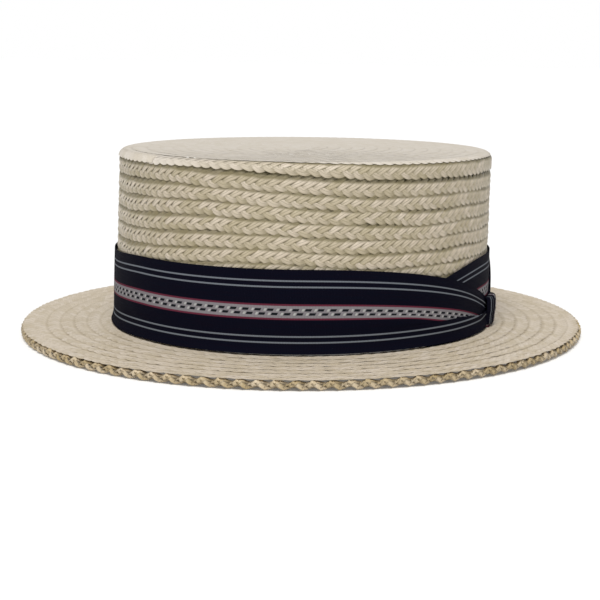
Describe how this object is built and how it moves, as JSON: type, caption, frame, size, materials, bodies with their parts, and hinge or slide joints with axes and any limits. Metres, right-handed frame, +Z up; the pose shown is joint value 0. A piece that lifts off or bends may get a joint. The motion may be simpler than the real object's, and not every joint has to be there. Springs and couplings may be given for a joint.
{
  "type": "straw boater hat",
  "caption": "Stiff sewn-straw boater hat with a flat crown, a flat oval brim and a striped ribbon band gathered into a side bow.",
  "frame": {"origin": "centre of the hat's box, on the surface that the brim rests on", "axes": "+Z up through the crown, -Y the front of the hat, +X the wearer's left with the bow"},
  "size_m": [0.26, 0.303, 0.0837],
  "materials": {
    "straw": "natural sewn straw braid, slightly glossy",
    "straw_edge": "natural sewn straw braid",
    "ribbon": "near-black grosgrain ribbon with pale stripes"
  },
  "bodies": {
    "root": {"crown": "straw", "brim": "straw", "brim_edge_braid": "straw_edge", "hatband": "ribbon", "bow_wing": "ribbon", "bow_knot": "ribbon"}
  },
  "joints": []
}
